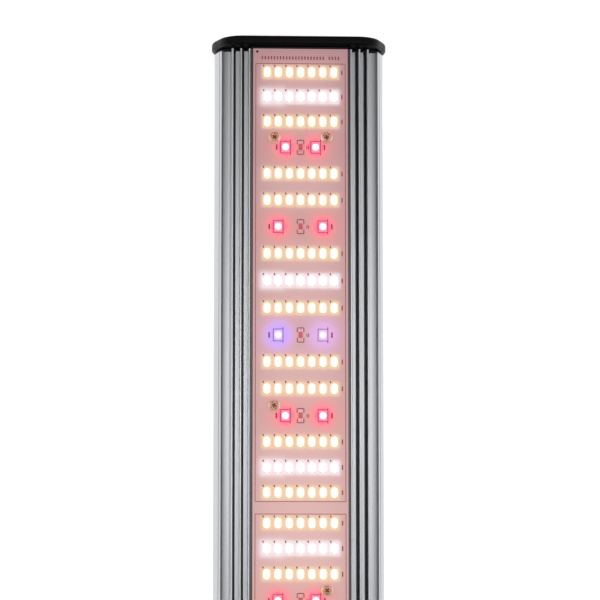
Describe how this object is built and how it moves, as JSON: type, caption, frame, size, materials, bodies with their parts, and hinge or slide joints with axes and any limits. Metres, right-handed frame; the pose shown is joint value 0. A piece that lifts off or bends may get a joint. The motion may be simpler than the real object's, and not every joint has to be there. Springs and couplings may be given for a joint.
{
  "type": "led grow light",
  "caption": "Bar-shaped LED grow light: finned aluminium extrusion with black end caps, a long white board of lit LEDs facing up, and sliding wire hangers in a slot along its back.",
  "frame": {"origin": "middle of the bar's length and width, on the plane that the backs of the two end caps stand on", "axes": "+X along the bar, from the power inlet to the plain end; +Y across it; +Z out of the LED face. The bar lies on its back"},
  "size_m": [0.671, 0.0636, 0.0322],
  "materials": {
    "aluminium": "satin anodised extrusion",
    "cap_plastic": "black moulded plastic, satin gloss",
    "inlet_plastic": "black moulded plastic",
    "led_board": "white solder mask over an aluminium core",
    "silicone_pad": "grey heat-conducting silicone",
    "gasket_rubber": "black sheet rubber",
    "yellow_zinc": "yellow zinc plated steel",
    "zinc_steel": "zinc plated steel",
    "bright_steel": "drawn stainless wire",
    "driver_circuit": "green circuit board with its parts",
    "tray_plastic": "natural insulating plastic",
    "lead_insulation": "red lead insulation",
    "pin_brass": "bright brass"
  },
  "bodies": {
    "light": {"board_lead_1": "lead_insulation", "board_lead_2": "lead_insulation", "board_screw_01": "yellow_zinc", "board_screw_02": "yellow_zinc", "board_screw_03": "yellow_zinc", "board_screw_04": "yellow_zinc", "board_screw_05": "yellow_zinc", "board_screw_06": "yellow_zinc", "board_screw_07": "yellow_zinc", "board_screw_08": "yellow_zinc", "board_screw_09": "yellow_zinc", "board_screw_10": "yellow_zinc", "board_screw_11": "yellow_zinc", "board_screw_12": "yellow_zinc", "driver_circuit": "driver_circuit", "driver_tray": "tray_plastic", "far_cap_screw_1": "zinc_steel", "far_cap_screw_2": "zinc_steel", "far_cap_screw_3": "zinc_steel", "far_cap_screw_4": "zinc_steel", "far_end_cap": "cap_plastic", "far_end_gasket": "gasket_rubber", "housing_extrusion": "aluminium", "inlet_cap_screw_1": "zinc_steel", "inlet_cap_screw_2": "zinc_steel", "inlet_cap_screw_3": "zinc_steel", "inlet_cap_screw_4": "zinc_steel", "inlet_end_cap": "cap_plastic", "inlet_end_gasket": "gasket_rubber", "inlet_lead_1": "lead_insulation", "inlet_lead_2": "lead_insulation", "inlet_lead_3": "lead_insulation", "inlet_pin_1": "pin_brass", "inlet_pin_2": "pin_brass", "inlet_pin_3": "pin_brass", "led_board_1": "led_board", "led_board_2": "led_board", "power_inlet": "inlet_plastic", "thermal_pad_1": "silicone_pad", "thermal_pad_2": "silicone_pad"},
    "far_hanger": {"far_hanger_frame": "zinc_steel"},
    "far_bail": {"far_hanger_bail": "bright_steel"},
    "inlet_hanger": {"inlet_hanger_frame": "zinc_steel"},
    "inlet_bail": {"inlet_hanger_bail": "bright_steel"}
  },
  "joints": [
    {"name": "far_hanger_slide", "type": "slide", "parent": "light", "child": "far_hanger", "axis": [1, 0, 0], "range_m": [-0.2, 0.08]},
    {"name": "far_bail_swing", "type": "hinge", "parent": "far_hanger", "child": "far_bail", "pos_m": [0.2221, 0, 0.0049], "axis": [0, 1, 0], "range_deg": [0, 130]},
    {"name": "inlet_hanger_slide", "type": "slide", "parent": "light", "child": "inlet_hanger", "axis": [-1, 0, 0], "range_m": [-0.2, 0.08]},
    {"name": "inlet_bail_swing", "type": "hinge", "parent": "inlet_hanger", "child": "inlet_bail", "pos_m": [-0.2221, 0, 0.0049], "axis": [0, -1, 0], "range_deg": [0, 130]}
  ]
}
